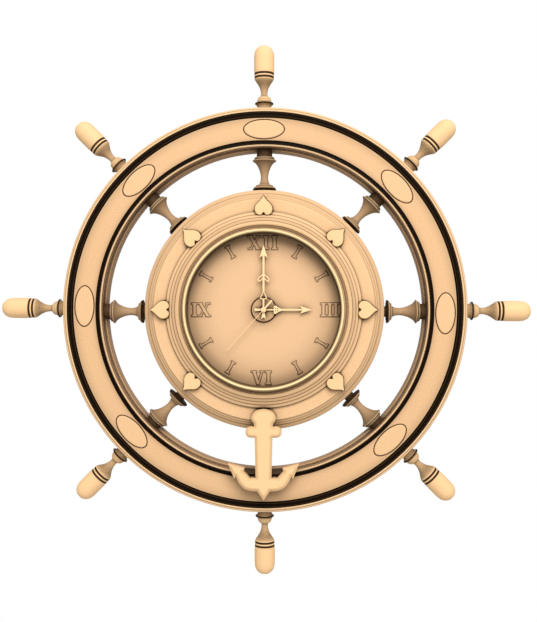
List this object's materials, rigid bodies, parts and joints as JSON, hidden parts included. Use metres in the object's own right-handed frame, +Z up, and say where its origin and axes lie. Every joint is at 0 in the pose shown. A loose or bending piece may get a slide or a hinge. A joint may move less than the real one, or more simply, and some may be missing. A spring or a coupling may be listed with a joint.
{
  "type": "ship's wheel wall clock",
  "caption": "Wall clock shaped like a ship's wheel, with turned handles and spindles, a moulded hub, a relief dial with hour, minute and second hands, an anchor and a battery movement.",
  "frame": {"origin": "the wheel's centre on the wall plane, behind the dial's centre", "axes": "+Z up, +X to the right for someone looking at the dial, +Y into the wall; the dial looks along -Y"},
  "size_m": [0.6004, 0.07, 0.6004],
  "materials": {
    "rim_wood": "sealed satin",
    "hub_wood": "sealed satin",
    "dial_wood": "sealed matt",
    "handle_wood": "sealed satin",
    "spindle_wood": "stained satin",
    "ornament_wood": "sealed satin",
    "black_inlay": "black stain, satin",
    "bezel_paint": "cream enamel",
    "nut_paint": "matt enamel",
    "hand_paint": "cream enamel",
    "case_plastic": "fine texture",
    "gear_plastic": "moulded",
    "magnet_steel": "plain",
    "coil_copper": "lacquered wire",
    "board": "coated board",
    "battery_wrap": "printed sleeve without print",
    "contact_steel": "zinc plated"
  },
  "bodies": {
    "root": {"rim_back_ring": "rim_wood", "rim_front_ring": "rim_wood", "rim_inlay_inner": "black_inlay", "rim_inlay_outer": "black_inlay", "handle_1": "handle_wood", "handle_2": "handle_wood", "handle_3": "handle_wood", "handle_4": "handle_wood", "handle_5": "handle_wood", "handle_6": "handle_wood", "handle_7": "handle_wood", "handle_8": "handle_wood", "spindle_1": "spindle_wood", "spindle_2": "spindle_wood", "spindle_3": "spindle_wood", "spindle_4": "spindle_wood", "spindle_5": "spindle_wood", "spindle_6": "spindle_wood", "spindle_7": "spindle_wood", "oval_plate_1": "ornament_wood", "oval_plate_2": "ornament_wood", "oval_plate_3": "ornament_wood", "oval_plate_4": "ornament_wood", "oval_plate_5": "ornament_wood", "oval_plate_6": "ornament_wood", "oval_plate_7": "ornament_wood", "heart_1": "ornament_wood", "heart_2": "ornament_wood", "heart_3": "ornament_wood", "heart_4": "ornament_wood", "heart_5": "ornament_wood", "heart_6": "ornament_wood", "heart_7": "ornament_wood", "anchor": "ornament_wood", "hub_body": "hub_wood", "bezel_ring": "bezel_paint", "dial": "dial_wood", "dial_nut": "nut_paint", "movement_case": "case_plastic", "movement_cover": "case_plastic", "middle_plate": "gear_plastic", "stator": "magnet_steel", "coil": "coil_copper", "circuit_board": "board", "battery": "battery_wrap", "contact_minus": "contact_steel", "contact_plus": "contact_steel", "hanger_plate": "contact_steel"},
    "minute_body": {"minute_hand": "hand_paint", "minute_tube": "gear_plastic"},
    "hour_body": {"hour_hand": "hand_paint", "hour_wheel": "gear_plastic"},
    "setting_body": {"reverse_wheel": "gear_plastic", "setting_knob": "gear_plastic"},
    "second_body": {"second_hand": "hand_paint", "second_wheel": "gear_plastic"},
    "third_body": {"third_wheel": "gear_plastic"},
    "centre_body": {"centre_wheel": "gear_plastic"},
    "intermediate_body": {"intermediate_wheel": "gear_plastic"},
    "rotor_body": {"rotor": "magnet_steel"}
  },
  "joints": [
    {"name": "minute_turn", "type": "hinge", "parent": "root", "child": "minute_body", "pos_m": [0, -0.05, 0], "axis": [0, 1, 0], "continuous": true},
    {"name": "hour_turn", "type": "hinge", "parent": "root", "child": "hour_body", "pos_m": [0, -0.05, 0], "axis": [0, 1, 0], "continuous": true},
    {"name": "setting_turn", "type": "hinge", "parent": "root", "child": "setting_body", "pos_m": [0.0104, -0.03, 0], "axis": [0, 1, 0], "continuous": true},
    {"name": "second_turn", "type": "hinge", "parent": "root", "child": "second_body", "pos_m": [0, -0.05, 0], "axis": [0, 1, 0], "continuous": true},
    {"name": "third_turn", "type": "hinge", "parent": "root", "child": "third_body", "pos_m": [-0.0102, -0.03, 0], "axis": [0, 1, 0], "continuous": true},
    {"name": "centre_turn", "type": "hinge", "parent": "root", "child": "centre_body", "pos_m": [0, -0.03, 0], "axis": [0, 1, 0], "continuous": true},
    {"name": "intermediate_turn", "type": "hinge", "parent": "root", "child": "intermediate_body", "pos_m": [0, -0.03, 0.0102], "axis": [0, 1, 0], "continuous": true},
    {"name": "rotor_turn", "type": "hinge", "parent": "root", "child": "rotor_body", "pos_m": [0.00643, -0.03, 0.0156], "axis": [0, 1, 0], "continuous": true}
  ],
  "couplings": [
    {"joint": "hour_turn", "follows": "minute_turn", "ratio": 0.083333},
    {"joint": "setting_turn", "follows": "minute_turn", "ratio": -0.33333},
    {"joint": "third_turn", "follows": "second_turn", "ratio": -0.13333},
    {"joint": "centre_turn", "follows": "second_turn", "ratio": 0.016667},
    {"joint": "intermediate_turn", "follows": "second_turn", "ratio": -5},
    {"joint": "rotor_turn", "follows": "second_turn", "ratio": 30}
  ]
}
